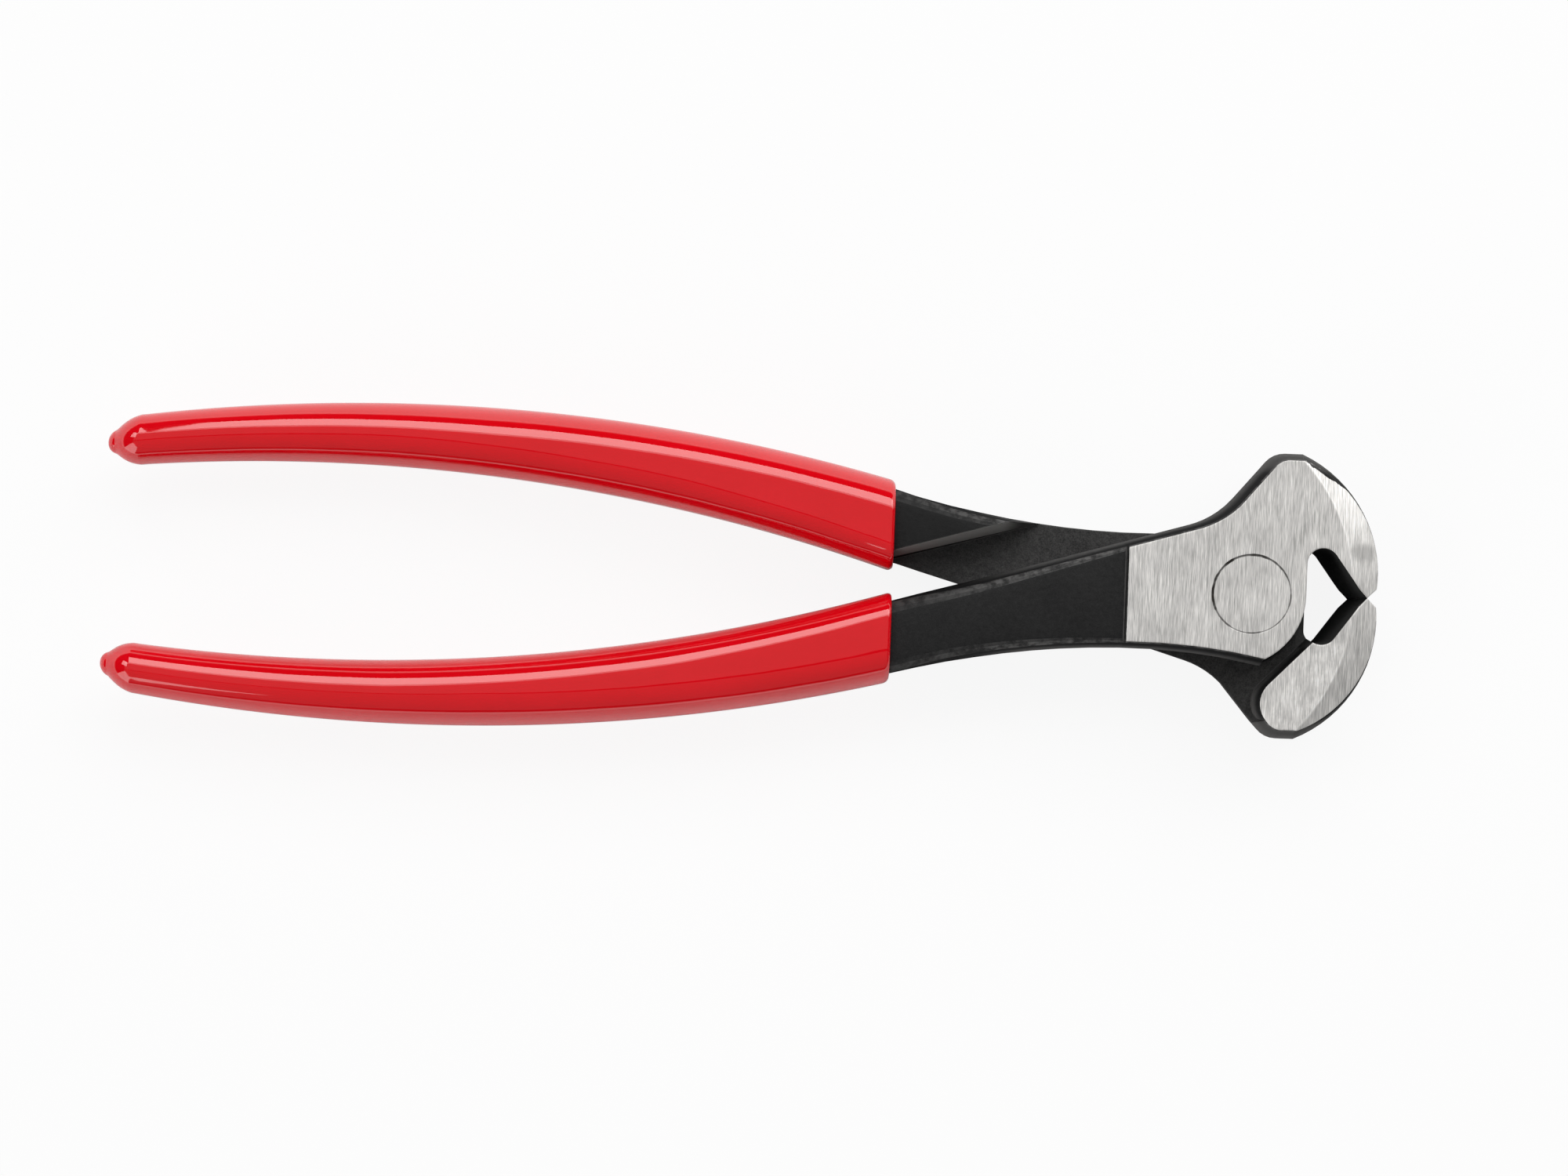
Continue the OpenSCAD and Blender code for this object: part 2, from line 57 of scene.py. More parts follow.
class Wire:
    """A socket in a node tree. Sums on it add Math nodes, and add() puts in any other node."""

    def __init__(self, tree, socket=None):
        self.tree = tree
        self.socket = socket

    def add(self, kind, settings=None, sockets=None, out=0):
        node = self.tree.nodes.new(kind)
        for name, value in (settings or {}).items():
            if name == "stops":
                ramp = node.color_ramp
                while len(ramp.elements) < len(value):
                    ramp.elements.new(0.5)
                for stop, (place, grey) in zip(ramp.elements, value):
                    stop.position = place
                    stop.color = (grey, grey, grey, 1)
            else:
                setattr(node, name, value)
        for name, value in (sockets or {}).items():
            if isinstance(value, Wire):
                self.tree.links.new(value.socket, node.inputs[name])
            else:
                node.inputs[name].default_value = value
        return Wire(self.tree, node.outputs[out] if len(node.outputs) else None)

    def output(self, name):
        """Another output of the node that this socket is on."""
        return Wire(self.tree, self.socket.node.outputs[name])

    def sum(self, operation, first, second):
        return self.add("ShaderNodeMath", {"operation": operation}, {0: first, 1: second})

    def __add__(self, other):
        return self.sum("ADD", self, other)

    def __radd__(self, other):
        return self.sum("ADD", other, self)

    def __sub__(self, other):
        return self.sum("SUBTRACT", self, other)

    def __rsub__(self, other):
        return self.sum("SUBTRACT", other, self)

    def __mul__(self, other):
        return self.sum("MULTIPLY", self, other)

    def __rmul__(self, other):
        return self.sum("MULTIPLY", other, self)

    def __truediv__(self, other):
        return self.sum("DIVIDE", self, other)

    def __rtruediv__(self, other):
        return self.sum("DIVIDE", other, self)

    def __pow__(self, other):
        return self.sum("POWER", self, other)

    def __rpow__(self, other):
        return self.sum("POWER", other, self)

    def __neg__(self):
        return self.sum("SUBTRACT", 0, self)

    def __abs__(self):
        return self.sum("ABSOLUTE", self, 0)

    def __gt__(self, other):
        return self.sum("GREATER_THAN", self, other)

    def __lt__(self, other):
        return self.sum("LESS_THAN", self, other)

    def split(self):
        """The X, Y and Z of a place or a direction."""
        x = self.add("ShaderNodeSeparateXYZ", {}, {"Vector": self}, out="X")
        return x, x.output("Y"), x.output("Z")

    def rise(self, low, high):
        """0 below low, 1 above high, eased between."""
        return self.add("ShaderNodeMapRange", {"interpolation_type": "SMOOTHSTEP"},
                        {"Value": self, "From Min": low, "From Max": high, "To Min": 0.0, "To Max": 1.0})

    def stretched(self, across, along, up, turn=0.0):
        """Place divided by a grain size on each axis."""
        grains = (1 / MM / across, 1 / MM / along, 1 / MM / up)
        return self.add("ShaderNodeMapping", {"vector_type": "POINT"},
                        {"Vector": self, "Rotation": (0, 0, turn), "Scale": grains})

    def speckle(self, detail, rough, warp=0.0):
        """Noise with one grain in each unit of this place."""
        return self.add("ShaderNodeTexNoise", {"noise_dimensions": "3D"}, {
            "Vector": self, "Scale": 1.0, "Detail": detail, "Roughness": rough, "Distortion": warp})

    def tint(self, first, second):
        """This mask mixes two colours."""
        return self.add("ShaderNodeMix", {"data_type": "RGBA", "clamp_factor": True},
                        {0: self, 6: first, 7: second}, out=2)

    def shade(self, colour):
        """Colour times this grey value."""
        grey = self.add("ShaderNodeCombineColor", {}, {0: self, 1: self, 2: self})
        return self.add("ShaderNodeMix", {"data_type": "RGBA", "blend_type": "MULTIPLY"},
                        {0: 1.0, 6: colour, 7: grey}, out=2)


def new_finish(name):
    finish = bpy.data.materials.new(name)
    finish.use_nodes = True
    finish.node_tree.nodes.clear()
    return finish, Wire(finish.node_tree)


def rgb(*screen):
    """Screen colour, 0 to 255, as linear light."""
    shares = [value / 255 for value in screen]
    return (*(s / 12.92 if s <= 0.04045 else ((s + 0.055) / 1.055) ** 2.4 for s in shares), 1.0)


# Sizes are in millimetres. A pair of places, or of slopes of a face from 0 to 1, is where a finish
# begins to fade and where it has faded.
MM = 0.001
HEAD_THICK = round(cad_box[1][2] / MM, 3)
MID = HEAD_THICK / 2
STEP_BACK = 19.2
RIVET_HEAD_R = 6.05

# Grains of the grinding, across, along and down the strokes
FINE_GRAIN = (0.09, 2.4, 6.0)
STRAND_GRAIN = (0.2, 5.0, 9.0)
CLOUD_GRAIN = (4.5, 7.0, 9.0)
SCRATCH_GRAIN, SCRATCH_TURN = (0.2, 14.0, 9.0), 0.05
GROUND_WHITE = rgb(236, 234, 231)


def ground_steel(place, level):
    """Colour, roughness and bump height of steel ground bright across the tool."""
    fine = place.stretched(*FINE_GRAIN).speckle(2.0, 0.6)
    strand = place.stretched(*STRAND_GRAIN).speckle(2.0, 0.55, 0.2)
    cloud = place.stretched(*CLOUD_GRAIN).speckle(2.0, 0.5)
    scratch = place.stretched(*SCRATCH_GRAIN, SCRATCH_TURN).speckle(1.0, 0.5).rise(0.66, 0.74)
    tone = fine * 1.3 + strand * 0.45 + cloud * 0.4 - 0.24 - scratch * 0.12
    rough = 0.48 + fine * 0.14 + strand * 0.1
    return (tone * level).shade(GROUND_WHITE), rough, fine * 0.6 + strand * 0.4


# The seam of the rivet is widest on one side, and grinding has closed it in places
SEAM_GRAIN = (2.2, 2.2, 2.2)
SEAM_OPEN_SIDE = (-4.0, 6.0)
SEAM_PATCH_WIDE, SEAM_SIDE_WIDE = 0.05, 0.07
SEAM_BROWN = rgb(58, 55, 52)


def rivet_seam(place, x, y):
    """Distance from the rivet axis, and how far the seam is spread and darkened there."""
    patch = place.stretched(*SEAM_GRAIN).speckle(2.0, 0.6).rise(0.36, 0.6)
    open_side = (y - x).rise(*SEAM_OPEN_SIDE)
    spread = patch * SEAM_PATCH_WIDE + open_side * SEAM_SIDE_WIDE
    return (x * x + y * y) ** 0.5, spread, 0.4 + patch * 0.3 + open_side * 0.3


# Where the steel is ground: head faces up to the step, and a band on the front of the jaws
FACE_LEVEL, FACE_OFF_MIDDLE, FACE_END = (0.86, 0.93), (7.0, 7.4), (-0.12, -0.02)
FRONT_FORWARD, FRONT_BAND, FRONT_REACH = (0.8, 0.88), (3.4, 3.5), (17.5, 18.0)
EDGE_FORWARD, EDGE_SIDEWAYS, EDGE_FACET_REACH = (0.4, 0.5), (0.55, 0.65), (17.9, 18.0)
CROWN_SLOPE, CROWN_LINE, CROWN_FADE = 0.62, 25.5, (-0.08, 0.08)
WANDER_GRAIN = (1.4, 1.4, 1.4)

# The jaw bevels are a cone about a place behind the rivet, with a darker patch on the upper jaw
BEVEL_BACK, BEVEL_REACH, BEVEL_FADE = 14.6, 30.4, 0.08
# Painted reflection: the bevels are lighter, most on the upper jaw high up
BEVEL_REFLECTION = (7.0, 9.6)
DARK_PATCH_X, DARK_PATCH_Y, DARK_PATCH_LONG, DARK_PATCH_WIDE = 17.2, 7.0, 2.6, 1.6
MOTTLE_GRAIN = (1.6, 2.6, 3.0)
MOTTLE_FROM_RIDGE, MOTTLE_BELOW = (-9.0, -2.5), (4.0, 9.0)
# A painted highlight along the ridge of the bevels
RIDGE_HIGHLIGHT, RIDGE_ENDS = (0.06, 0.26), (2.0, 4.0)

# Phosphate black: its blasted grain, where it is deeper, paler or rubbed, and painted light and highlights
# on it
BLAST_GRAIN, PIT_GRAIN, TONE_GRAIN = (0.22, 0.22, 0.22), (0.75, 0.75, 0.75), (7.0, 7.0, 7.0)
BLACK_DEEP, BLACK_PALE = rgb(7, 7, 8), rgb(32, 32, 32)
MOUTH_BACK, MOUTH_FRONT, MOUTH_HALF = (8.0, 9.0), (17.7, 18.2), (7.6, 8.4)
# Painted light: the mouth walls are painted paler to lift their shade
MOUTH_LIT_GREY = rgb(74, 74, 73)
# Painted light: the floor of the lap is painted paler to lift its shade
LAP_FLOOR, LAP_LIT_DEEP, LAP_LIT_PALE = (0.2, 0.5), rgb(22, 22, 22), rgb(84, 83, 82)
# A painted highlight on the land beside the parting plane; the same grey marks rubbed edges, with a painted
# highlight
PARTING_LEVEL, PARTING_OFF, PARTING_ALONG = (0.3, 0.6), (0.5, 8.0), (-46.0, -32.0)
WEAR_AND_HIGHLIGHT_GREY = rgb(112, 111, 110)
FAR_SIDE, FAR_ALONG, FAR_ABOVE, FAR_BLACK = (1.0, 4.0), (-42.0, -37.0), (4.0, 6.0), rgb(4, 4, 4)
# Painted light: a step wall of the lap is painted pale to lift its shade
WALL_LEVEL, WALL_INWARD = (0.5, 0.8), (0.6, 2.0)
WALL_SIDE, WALL_ALONG = (4.0, 10.0), (-39.0, -35.0)
WALL_LIT_GREY = rgb(150, 149, 147)
CROWN_OFF, CROWN_GREY = (18.6, 20.4), rgb(98, 97, 96)
# Rounded and sharp edges: rubbed grey with a painted highlight
ROUNDING_LEVEL, ROUNDING_END, ROUNDING_ALONG = (0.25, 0.45), (0.82, 0.95), (-56.0, -34.0)
ARRIS_RADIUS, ARRIS_BEND, ARRIS_WEAR_AND_HIGHLIGHT_GREY = 0.36, (0.02, 0.16), rgb(118, 117, 115)
BURR_ABOVE, BURR_WHITE = (19.2, 20.2), rgb(226, 225, 222)
STEP_DARK, STEP_DARK_END, STEP_BLACK = (-0.06, 0.02), (0.22, 0.3), rgb(6, 6, 6)
# A painted highlight on the black edge behind the step
STEP_HIGHLIGHT, STEP_HIGHLIGHT_END, STEP_HIGHLIGHT_GREY = (0.3, 0.36), (0.46, 0.58), rgb(90, 89, 88)
FORGED_BUMP = 0.12


def forged_finish(name):
    finish, start = new_finish(name)
    place = start.add("ShaderNodeTexCoord", out="Object")
    x, y, z = (axis / MM for axis in place.split())
    off_middle = abs(z - MID)
    forward, sideways, lift = start.add("ShaderNodeTexCoord", out="Normal").split()
    tilt = abs(lift)
    wander = place.stretched(*WANDER_GRAIN).speckle(3.0, 0.6)

    # The head faces and the front band are ground, and run out on the crown of the upper jaw
    flat = tilt.rise(*FACE_LEVEL)
    outside = off_middle.rise(*FACE_OFF_MIDDLE)
    ahead = (x + STEP_BACK).rise(*FACE_END)
    band = 1 - (abs(y) + (wander - 0.5) * 0.5).rise(*FRONT_BAND)
    nose = forward.rise(*FRONT_FORWARD) * band * x.rise(*FRONT_REACH)
    edge_facet = x.rise(*EDGE_FACET_REACH) * forward.rise(*EDGE_FORWARD)
    edge_facet = edge_facet * abs(sideways).rise(*EDGE_SIDEWAYS)
    run_out = (y + x * CROWN_SLOPE - CROWN_LINE + (wander - 0.5) * 0.8).rise(*CROWN_FADE)
    bright = ((flat * outside * ahead + nose) * (1 - run_out) + edge_facet).rise(0.4, 0.6)

    # The bevels are a little brighter than the faces, a painted reflection that is strongest high on the
    # upper jaw, which is darker in a patch below that. A thin painted highlight marks their ridge, and the
    # lower jaw is mottled beside it.
    reach = ((x + BEVEL_BACK) ** 2 + y * y) ** 0.5 - BEVEL_REACH
    bevel = reach.rise(-BEVEL_FADE, BEVEL_FADE)
    patch_x, patch_y = (x - DARK_PATCH_X) / DARK_PATCH_LONG, (y - DARK_PATCH_Y) / DARK_PATCH_WIDE
    dark_patch = 1 - (patch_x * patch_x + patch_y * patch_y + (wander - 0.5) * 0.9).rise(0.1, 1.3)
    mottle = place.stretched(*MOTTLE_GRAIN).speckle(3.0, 0.6).rise(0.3, 0.7)
    beside = reach.rise(*MOTTLE_FROM_RIDGE) * (1 - bevel) * (-y).rise(*MOTTLE_BELOW)
    ridge_highlight = (1 - abs(reach).rise(*RIDGE_HIGHLIGHT)) * abs(y).rise(*RIDGE_ENDS)
    bevel_level = bevel * (y.rise(*BEVEL_REFLECTION) * 0.17 - dark_patch * 0.26 + 0.04)
    level = 1 + ridge_highlight * 0.16 + bevel_level + beside * (mottle * 0.32 - 0.05)
    steel, steel_rough, steel_height = ground_steel(place, level)
    radius, spread, darkness = rivet_seam(place, x, y)
    seam = 1 - (abs(radius - RIVET_HEAD_R) - spread).rise(0.05, 0.15)
    steel = (seam * darkness * bright).tint(steel, SEAM_BROWN)

    # Black all over, but deepest on top of the lower lever's shank by its grip, and paler on the crowns.
    # Painted light lifts the shade on the floor and walls of the lap and in the mouth, and a painted
    # highlight lies on the land beside the parting plane
    grain = place.stretched(*BLAST_GRAIN).speckle(3.0, 0.65)
    pits = place.stretched(*PIT_GRAIN).speckle(2.0, 0.5)
    tone = place.stretched(*TONE_GRAIN).speckle(2.0, 0.5)
    dark = (grain * 0.6 + pits * 0.3 + tone * 0.2).rise(0.3, 0.8)
    black = dark.tint(BLACK_DEEP, BLACK_PALE)
    mouth = x.rise(*MOUTH_BACK) * (1 - x.rise(*MOUTH_FRONT)) * (1 - abs(y).rise(*MOUTH_HALF))
    lit_lap_floor = flat * (1 - off_middle.rise(*LAP_FLOOR))
    black = (lit_lap_floor * 0.7).tint(black, dark.tint(LAP_LIT_DEEP, LAP_LIT_PALE))
    parting = (1 - off_middle.rise(*PARTING_OFF)) * (1 - tilt.rise(*PARTING_LEVEL)) * (1 - mouth)
    parting = parting * x.rise(*PARTING_ALONG)
    black = (parting * (0.35 + wander * 0.5)).tint(black, WEAR_AND_HIGHLIGHT_GREY)
    far_shank = y.rise(*FAR_SIDE) * (1 - x.rise(*FAR_ALONG)) * (z - MID).rise(*FAR_ABOVE)
    black = (far_shank * 0.6).tint(black, FAR_BLACK)
    inward = (-(y * sideways)).rise(*WALL_INWARD) * (y * (z - MID)).rise(*WALL_SIDE)
    lit_step_wall = inward * (1 - tilt.rise(*WALL_LEVEL)) * (1 - x.rise(*WALL_ALONG))
    black = (lit_step_wall * 0.9).tint(black, WALL_LIT_GREY)
    black = (abs(y).rise(*CROWN_OFF) * 0.55).tint(black, CROWN_GREY)
    black = (mouth * 0.6).tint(black, MOUTH_LIT_GREY)

    # Rounded and sharp edges are rubbed grey and carry a painted highlight, and the crown of the upper jaw
    # keeps a bright burr
    rounding = tilt.rise(*ROUNDING_LEVEL) * (1 - tilt.rise(*ROUNDING_END)) * (1 - mouth)
    wear_and_glint = wander.rise(0.34, 0.66) * (0.4 + x.rise(*ROUNDING_ALONG) * 0.6)
    black = (rounding * (0.08 + wear_and_glint * 0.55)).tint(black, WEAR_AND_HIGHLIGHT_GREY)
    soft = start.add("ShaderNodeBevel", {"samples": 6}, {"Radius": ARRIS_RADIUS * MM})
    true = start.add("ShaderNodeNewGeometry", out="True Normal")
    bend = start.add("ShaderNodeVectorMath", {"operation": "DOT_PRODUCT"}, {0: soft, 1: true}, out="Value")
    arris = (1 - bend).rise(*ARRIS_BEND)
    black = (arris * (0.3 + wander * 0.5) * (1 - mouth)).tint(black, ARRIS_WEAR_AND_HIGHLIGHT_GREY)
    black = (arris * y.rise(*BURR_ABOVE) * pits.rise(0.48, 0.56)).tint(black, BURR_WHITE)

    # Where grinding ends at the step: a dark line, and behind it a painted highlight on the black edge
    behind = -(x + STEP_BACK + (wander - 0.5) * 0.16)
    step_dark = behind.rise(*STEP_DARK) * (1 - behind.rise(*STEP_DARK_END)) * flat * outside
    step_highlight = behind.rise(*STEP_HIGHLIGHT) * (1 - behind.rise(*STEP_HIGHLIGHT_END)) * flat * outside
    black = (step_highlight * (0.05 + wander * 0.6)).tint(black, STEP_HIGHLIGHT_GREY)
    black = step_dark.tint(black, STEP_BLACK)

    height = bright * steel_height * 0.2 + (1 - bright) * (grain * 0.55 + pits * 0.6)
    bump = start.add("ShaderNodeBump", {}, {
        "Strength": 0.7, "Distance": FORGED_BUMP * MM, "Height": height, "Normal": soft})
    metal = start.add("ShaderNodeBsdfPrincipled", {}, {
        "Base Color": steel, "Roughness": steel_rough, "Metallic": 0.97, "Normal": bump})
    matt = start.add("ShaderNodeBsdfPrincipled", {}, {
        "Base Color": black, "Roughness": 1.0, "Specular IOR Level": 0.0, "Normal": bump})
    gleam = start.add("ShaderNodeBsdfGlossy", {}, {
        "Color": (1, 1, 1, 1), "Roughness": 0.5 + grain * 0.15, "Normal": bump})
    phosphate = start.add("ShaderNodeMixShader", {}, {0: 0.018, 1: matt, 2: gleam})
    skin = start.add("ShaderNodeMixShader", {}, {0: bright * (1 - step_dark), 1: phosphate, 2: metal})
    start.add("ShaderNodeOutputMaterial", {}, {"Surface": skin})
    return finish


ARRIS_ANGLE = 14
WELD = 0.001
EDGE_REACH, EDGE_GAP = 18.0, 0.04


def arris_keeper():
    """Rounds the shading but for the arrises. The cutting edges, a hair apart, are shown touching."""
    group = bpy.data.node_groups.new("smooth_but_for_arrises", "GeometryNodeTree")
    group.interface.new_socket("Geometry", in_out="INPUT", socket_type="NodeSocketGeometry")
    group.interface.new_socket("Geometry", in_out="OUTPUT", socket_type="NodeSocketGeometry")
    start = Wire(group)
    shape = start.add("NodeGroupInput")
    weld = start.add("GeometryNodeMergeByDistance", {}, {"Geometry": shape, "Distance": WELD * MM})
    gentle = start.add("GeometryNodeInputMeshEdgeAngle") < math.radians(ARRIS_ANGLE)
    whole = start.add("GeometryNodeSetShadeSmooth", {"domain": "FACE"},
                      {"Geometry": weld, "Shade Smooth": True})
    kept = start.add("GeometryNodeSetShadeSmooth", {"domain": "EDGE"},
                     {"Geometry": whole, "Shade Smooth": gentle})
    x, y, _ = start.add("GeometryNodeInputPosition").split()
    at_edge = (abs(y) < EDGE_GAP * MM) * (x > (EDGE_REACH - EDGE_GAP) * MM)
    close = start.add("ShaderNodeCombineXYZ", {}, {"Y": -(y * at_edge)})
    shut = start.add("GeometryNodeSetPosition", {}, {"Geometry": kept, "Offset": close})
    start.add("NodeGroupOutput", {}, {0: shut})
    return group


smooth = arris_keeper()
forged = forged_finish("forged_lever")
for name in ("lower_lever", "upper_lever"):
    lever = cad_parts[name]
    lever.data.materials.clear()
    lever.data.materials.append(forged)
    lever.modifiers.new("smooth", "NODES").node_group = smooth


# Rivet
# One steel rivet, upset into a countersink on each side and ground flush together with the head, so the
# grain of the grinding runs on over it and only a thin seam shows.

SEAM_START, SEAM_FULL = -0.13, -0.03
RIVET_BUMP = 0.018


def rivet_finish(name):
    finish, start = new_finish(name)
    place = start.add("ShaderNodeTexCoord", out="Object")
    x, y, _ = (axis / MM for axis in place.split())
    steel, rough, height = ground_steel(place, 1.0)
    radius, spread, darkness = rivet_seam(place, x, y)
    seam = (radius + spread).rise(RIVET_HEAD_R + SEAM_START, RIVET_HEAD_R + SEAM_FULL)
    colour = (seam * darkness).tint(steel, SEAM_BROWN)
    bump = start.add("ShaderNodeBump", {}, {
        "Strength": 0.55, "Distance": RIVET_BUMP * MM, "Height": height})
    skin = start.add("ShaderNodeBsdfPrincipled", {}, {
        "Base Color": colour, "Roughness": rough, "Metallic": 0.96, "Normal": bump})
    start.add("ShaderNodeOutputMaterial", {}, {"Surface": skin})
    return finish


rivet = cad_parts["pivot_rivet"]
rivet.data.materials.clear()
rivet.data.materials.append(rivet_finish("ground_rivet"))
rivet.modifiers.new("smooth", "NODES").node_group = smooth


# Grips
# Each handle is dipped in soft red PVC, which leaves an even glossy coat, a rounded lip where the dip
# ends and a hanging drip at the tail. The coat is flat on top of the wide root and round at the tail.

COAT = 1.3
GRIP_FRONT, GRIP_TIP = -55.6, round(cad_box[0][0] / MM, 3)
GRIP_LIP, GRIP_END = 0.9, 6.2
BOW_RADIUS, BOW_BACK, BOW_HEIGHT = 300.0, 138.0, 20.3
ROOT_BACK, TAIL_BACK = 60.0, 176.4
ROOT_WIDE, TAIL_WIDE = 11.3, 5.2
ROOT_THICK, TAIL_THICK, SHANK_THICK = 14.6, 7.2, 20.8
# Radii of the steel's edges, and of the coat over the outer and the inner ones
ROOT_EDGE, TAIL_EDGE = 2.8, 2.5
OUTER_EDGE, INNER_EDGE, INNER_TAIL_EDGE = 5.2, 4.2, 4.8
EDGE_CHANGE_SHARE = 0.25
LEAST_FLAT = 0.2
ARC_POINTS, FLAT_POINTS = 15, 8


def blend(start, end, share):
    return start + (end - start) * share


def handle_middle(x):
    return BOW_RADIUS - math.sqrt(BOW_RADIUS ** 2 - (x + BOW_BACK) ** 2) - BOW_HEIGHT


def grip_ring(x, section_x, coat, size, drop=0.0):
    """Closed ring of the coat across X: four sides and four rounded edges, the outer ones rounder."""
    share = (-ROOT_BACK - section_x) / (TAIL_BACK - ROOT_BACK)
    slope = (section_x + BOW_BACK) / BOW_RADIUS
    wide = blend(ROOT_WIDE, TAIL_WIDE, share) / 2 + coat * math.sqrt(1 + slope ** 2)
    if share > 0:
        steel_thick = blend(ROOT_THICK, TAIL_THICK, share)
    else:
        steel_thick = blend(ROOT_THICK, SHANK_THICK, (section_x + ROOT_BACK) / (ROOT_BACK - STEP_BACK))
    thick = steel_thick / 2 + coat
    tall = thick / wide
    changed = min(1, max(share, 0) / EDGE_CHANGE_SHARE)
    core = blend(ROOT_EDGE, TAIL_EDGE, changed)
    coated = coat / COAT
    outer = min(wide - LEAST_FLAT, blend(core, OUTER_EDGE, coated))
    inner = min(wide - LEAST_FLAT, blend(core, blend(INNER_EDGE, INNER_TAIL_EDGE, changed), coated))
    edges = ((1, 1, inner), (-1, 1, outer), (-1, -1, outer), (1, -1, inner))
    outline = []
    for turn, (side, level, edge) in enumerate(edges):
        arc = []
        for i in range(ARC_POINTS):
            a = math.pi / 2 * (turn + i / (ARC_POINTS - 1))
            arc.append(Vector((side * (wide - edge) + edge * math.cos(a),
                               level * (thick - edge * tall) + edge * tall * math.sin(a))))
        outline.append(arc)
    middle = handle_middle(section_x) + drop
    ring = []
    for arc, after in zip(outline, outline[1:] + outline[:1]):
        flat = [arc[-1].lerp(after[0], i / FLAT_POINTS) for i in range(1, FLAT_POINTS)]
        ring += [Vector((x, middle + size * p.x, MID + size * p.y)) * MM for p in arc + flat]
    return ring


# Rounded end with its hanging drip, as shares of its length and of the section
DRIP_LONG_SHARE, DRIP_WIDE_SHARE, DOME_START_SHARE = 0.3, 0.5, 0.2
DOME_POWER, MELT_POWER = 2.0, 4.0


def end_size(place):
    """Size of the rounded end from its tip (0) to the sleeve (1): a drip that melts into a dome."""
    drip = DRIP_WIDE_SHARE * math.sqrt(1 - max(0, 1 - place / DRIP_LONG_SHARE) ** 2)
    to_dome = (1 - place) / (1 - DOME_START_SHARE)
    dome = max(0, 1 - to_dome ** DOME_POWER) ** (1 / DOME_POWER)
    return min(1, (drip ** MELT_POWER + dome ** MELT_POWER) ** (1 / MELT_POWER))


END_RINGS, END_CROWDING = 40, 1.6
SLEEVE_RINGS, LIP_RINGS = 150, 10
LIP_LEAST_SHARE, LIP_POWER, LIP_TUCK = 0.4, 0.9, 0.02


def grip_mesh(name):
    rings = []
    body_start, body_end = GRIP_TIP + GRIP_END, GRIP_FRONT - GRIP_LIP
    slope = (handle_middle(-TAIL_BACK) - handle_middle(body_start)) / (-TAIL_BACK - body_start)
    for i in range(1, END_RINGS):
        place = (i / END_RINGS) ** END_CROWDING
        x = GRIP_TIP + GRIP_END * place
        rings.append(grip_ring(x, body_start, COAT, end_size(place), slope * (x - body_start)))
    for i in range(SLEEVE_RINGS + 1):
        x = blend(body_start, body_end, i / SLEEVE_RINGS)
        rings.append(grip_ring(x, x, COAT, 1.0))
    for i in range(1, LIP_RINGS + 1):
        a = math.pi / 2 * i / LIP_RINGS
        x = body_end + GRIP_LIP * math.sin(a)
        rings.append(grip_ring(x, x, COAT * blend(LIP_LEAST_SHARE, 1, math.cos(a) ** LIP_POWER), 1.0))
    rings.append(grip_ring(GRIP_FRONT - LIP_TUCK, GRIP_FRONT, LIP_TUCK, 1.0))
    mesh = bmesh.new()
    rows = [[mesh.verts.new(p) for p in ring] for ring in rings]
    count = len(rows[0])
    for low, high in zip(rows, rows[1:]):
        for i in range(count):
            j = (i + 1) % count
            mesh.faces.new((low[i], high[i], high[j], low[j]))
    tip_y = handle_middle(body_start) + slope * (GRIP_TIP - body_start)
    tip = mesh.verts.new(Vector((GRIP_TIP, tip_y, MID)) * MM)
    for i in range(count):
        mesh.faces.new((tip, rows[0][i], rows[0][(i + 1) % count]))
    bmesh.ops.recalc_face_normals(mesh, faces=mesh.faces)
    for face in mesh.faces:
        face.smooth = True
    data = bpy.data.meshes.new(name)
    mesh.to_mesh(data)
    mesh.free()
    return data


RED_DEEP, RED_BRIGHT = rgb(223, 2, 17), rgb(229, 3, 22)
DRIFT_GRAIN, BLOOM_GRAIN = (26.0, 9.0, 9.0), (3.0, 2.0, 2.0)
SAG_GRAIN, RIPPLE_GRAIN, RIPPLE_ALONG = (15.0, 4.0, 4.0), (9.0, 6.0, 6.0), (-95.0, -62.0)
SAG_BUMP, SUBSURFACE_DEPTH = 0.4, 0.8


def grip_finish(name):
    finish, start = new_finish(name)
    place = start.add("ShaderNodeTexCoord", out="Object")
    drift = place.stretched(*DRIFT_GRAIN).speckle(2.0, 0.5)
    bloom = place.stretched(*BLOOM_GRAIN).speckle(3.0, 0.6)
    colour = (drift * 0.7 + bloom * 0.3).rise(0.3, 0.7).tint(RED_DEEP, RED_BRIGHT)
    sag = place.stretched(*SAG_GRAIN).speckle(1.0, 0.4)
    near_lip = (place.split()[0] / MM).rise(*RIPPLE_ALONG)
    ripple = place.stretched(*RIPPLE_GRAIN).speckle(1.0, 0.4)
    bump = start.add("ShaderNodeBump", {}, {
        "Strength": 0.1, "Distance": SAG_BUMP * MM, "Height": sag + near_lip * ripple * 2.0})
    skin = start.add("ShaderNodeBsdfPrincipled", {}, {
        "Base Color": colour, "Roughness": 0.035 + bloom * 0.03, "Normal": bump, "IOR": 1.75,
        "Subsurface Weight": 0.06, "Subsurface Radius": (1.0, 0.12, 0.1),
        "Subsurface Scale": SUBSURFACE_DEPTH * MM})
    start.add("ShaderNodeOutputMaterial", {}, {"Surface": skin})
    return finish


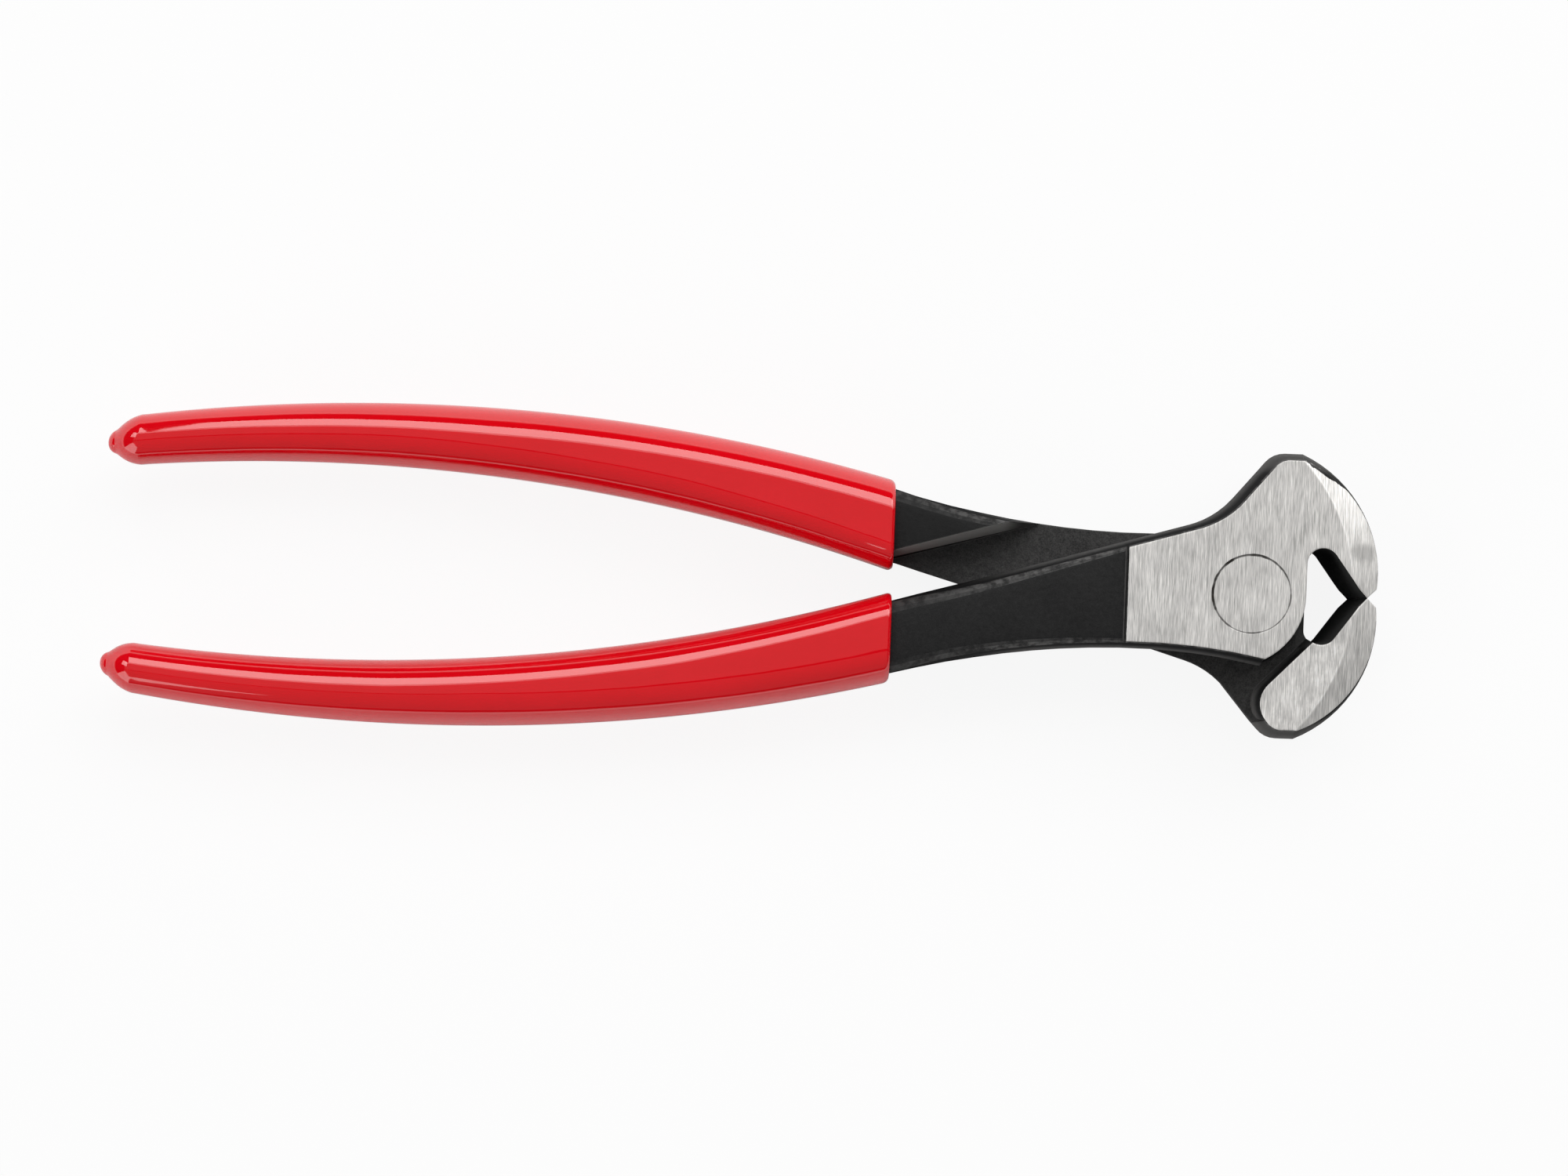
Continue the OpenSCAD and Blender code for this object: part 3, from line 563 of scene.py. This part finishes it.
coat_red = grip_finish("dipped_red_pvc")
upper_coat = bpy.data.objects.new("upper_grip_coat", grip_mesh("upper_grip_coat"))
lower_shape = grip_mesh("lower_grip_coat")
lower_shape.transform(Matrix.Translation((0, 0, HEAD_THICK * MM)) @ Matrix.Rotation(math.pi, 4, "X"))
lower_coat = bpy.data.objects.new("lower_grip_coat", lower_shape)
for coat, node, body in ((upper_coat, "upper_grip", "upper_half"), (lower_coat, "lower_grip", "lower_half")):
    bpy.context.scene.collection.objects.link(coat)
    coat.data.materials.append(coat_red)
    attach(coat, body)
    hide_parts(node)


# Table sheet
# A plain white paper sheet that the tool lies on. It is shown nearly white to the camera, keeps a faint
# shadow, and in the gloss of the grips it glows brighter on the far side, a painted reflection of the long
# light.

FLOOR_HALF = 3.0
PAPER = (0.92, 0.92, 0.92, 1)
SHOWN_SHARE, MIRRORED_SHARE, FAR_MIRRORED_SHARE = 0.9, 0.1, 0.75
FAR_SHEET = (0.0, 0.05)

floor_mesh = bpy.data.meshes.new("table_sheet")
corners = [(-1, -1), (1, -1), (1, 1), (-1, 1)]
floor_mesh.from_pydata([(x * FLOOR_HALF, y * FLOOR_HALF, 0) for x, y in corners], [], [(0, 1, 2, 3)])
floor = bpy.data.objects.new("table_sheet", floor_mesh)
bpy.context.scene.collection.objects.link(floor)
sheet, start = new_finish("table_sheet")
seen = start.add("ShaderNodeLightPath", out="Is Camera Ray")
glossy = seen.output("Is Glossy Ray")
clear = seen.output("Is Transmission Ray")
far = start.add("ShaderNodeTexCoord", out="Object").split()[1].rise(*FAR_SHEET)
paper = start.add("ShaderNodeBsdfDiffuse", {}, {"Color": PAPER})
glow = start.add("ShaderNodeEmission", {}, {"Color": (1, 1, 1, 1), "Strength": 1.0})
# Painted reflection: the sheet glows brighter on its far side for glossy rays
mirrored = glossy * (MIRRORED_SHARE + far * FAR_MIRRORED_SHARE)
shown = (seen + clear).rise(0.0, 1.0) * SHOWN_SHARE + mirrored
start.add("ShaderNodeOutputMaterial", {}, {
    "Surface": start.add("ShaderNodeMixShader", {}, {0: shown, 1: paper, 2: glow})})
floor_mesh.materials.append(sheet)


# Studio light
# Pale walls round the table, seen low down in the gloss of the grips, and a dark room above them. A long
# box behind the tool gives the main highlight, and the others are weaker fill from all round.

ROOM = [(0.0, 1.2), (0.09, 1.0), (0.15, 0.12), (0.2, 0.02), (0.5, 0.02), (1.0, 0.03)]

world = bpy.data.worlds.new("studio")
bpy.context.scene.world = world
world.use_nodes = True
world.node_tree.nodes.clear()
air = Wire(world.node_tree)
height = air.add("ShaderNodeTexCoord", out="Generated").split()[2]
room = air.add("ShaderNodeValToRGB", {"stops": ROOM}, {"Fac": height})
air.add("ShaderNodeOutputWorld", {}, {
    "Surface": air.add("ShaderNodeBackground", {}, {"Color": room, "Strength": 1.0})})


def soft_box(name, place, aim, wide, deep, watts):
    lamp = bpy.data.lights.new(name, "AREA")
    lamp.shape = "RECTANGLE"
    lamp.size = wide
    lamp.size_y = deep
    lamp.energy = watts
    holder = bpy.data.objects.new(name, lamp)
    holder.location = place
    holder.rotation_euler = (Vector(aim) - Vector(place)).to_track_quat("-Z", "Y").to_euler()
    bpy.context.scene.collection.objects.link(holder)


soft_box("back_box", (0.2, 0.762, 0.861), aim=(0.2, 0, 0), wide=1.4, deep=0.62, watts=9.0)
soft_box("top_box", (-0.07, 0.243, 1.12), aim=(-0.07, 0.243, 0), wide=2.2, deep=0.64, watts=1.35)
soft_box("fringe_box", (-0.07, 0.46, 1.08), aim=(-0.07, 0, 0), wide=2.2, deep=0.13, watts=1.1)
soft_box("front_box", (-0.07, -0.72, 0.74), aim=(-0.07, -0.254, 0), wide=2.2, deep=1.36, watts=2.0)
soft_box("right_box", (0.75, 0.65, 0.6), aim=(-0.02, 0, 0), wide=0.8, deep=0.8, watts=2.6)
soft_box("left_box", (-1.0, -0.85, 0.6), aim=(-0.12, 0, 0), wide=1.0, deep=1.0, watts=6.0)
soft_box("end_box", (-1.0, 0.35, 0.95), aim=(-0.12, 0, 0), wide=0.45, deep=0.5, watts=2.1)


# Camera
# Nearly straight above the middle of the tool, from about an arm's length, turned a little so that the
# tool falls to the right as in the photograph.

CAMERA_TURN = math.radians(2.12)
AIM_X, AIM_Y = -72.5, -1.64
EYE_HEIGHT, EYE_BACK = 580.0, 6.2
LENS, SENSOR, NEAREST = 84.3, 36.0, 0.01

camera_data = bpy.data.cameras.new("camera")
camera_data.sensor_width = SENSOR
camera_data.lens = LENS
camera_data.clip_start = NEAREST
camera = bpy.data.objects.new("camera", camera_data)
bpy.context.scene.collection.objects.link(camera)
aim = Vector((AIM_X, AIM_Y, MID)) * MM
back = Vector((math.sin(CAMERA_TURN), -math.cos(CAMERA_TURN), 0)) * EYE_BACK * MM
eye = aim + Vector((0, 0, EYE_HEIGHT)) * MM + back
across = Vector((math.cos(CAMERA_TURN), math.sin(CAMERA_TURN), 0))
behind = (eye - aim).normalized()
up = behind.cross(across).normalized()
across = up.cross(behind)
camera.matrix_world = Matrix((
    (across.x, up.x, behind.x, eye.x),
    (across.y, up.y, behind.y, eye.y),
    (across.z, up.z, behind.z, eye.z),
    (0, 0, 0, 1)))
bpy.context.scene.camera = camera
bpy.context.scene.view_settings.view_transform = "Standard"
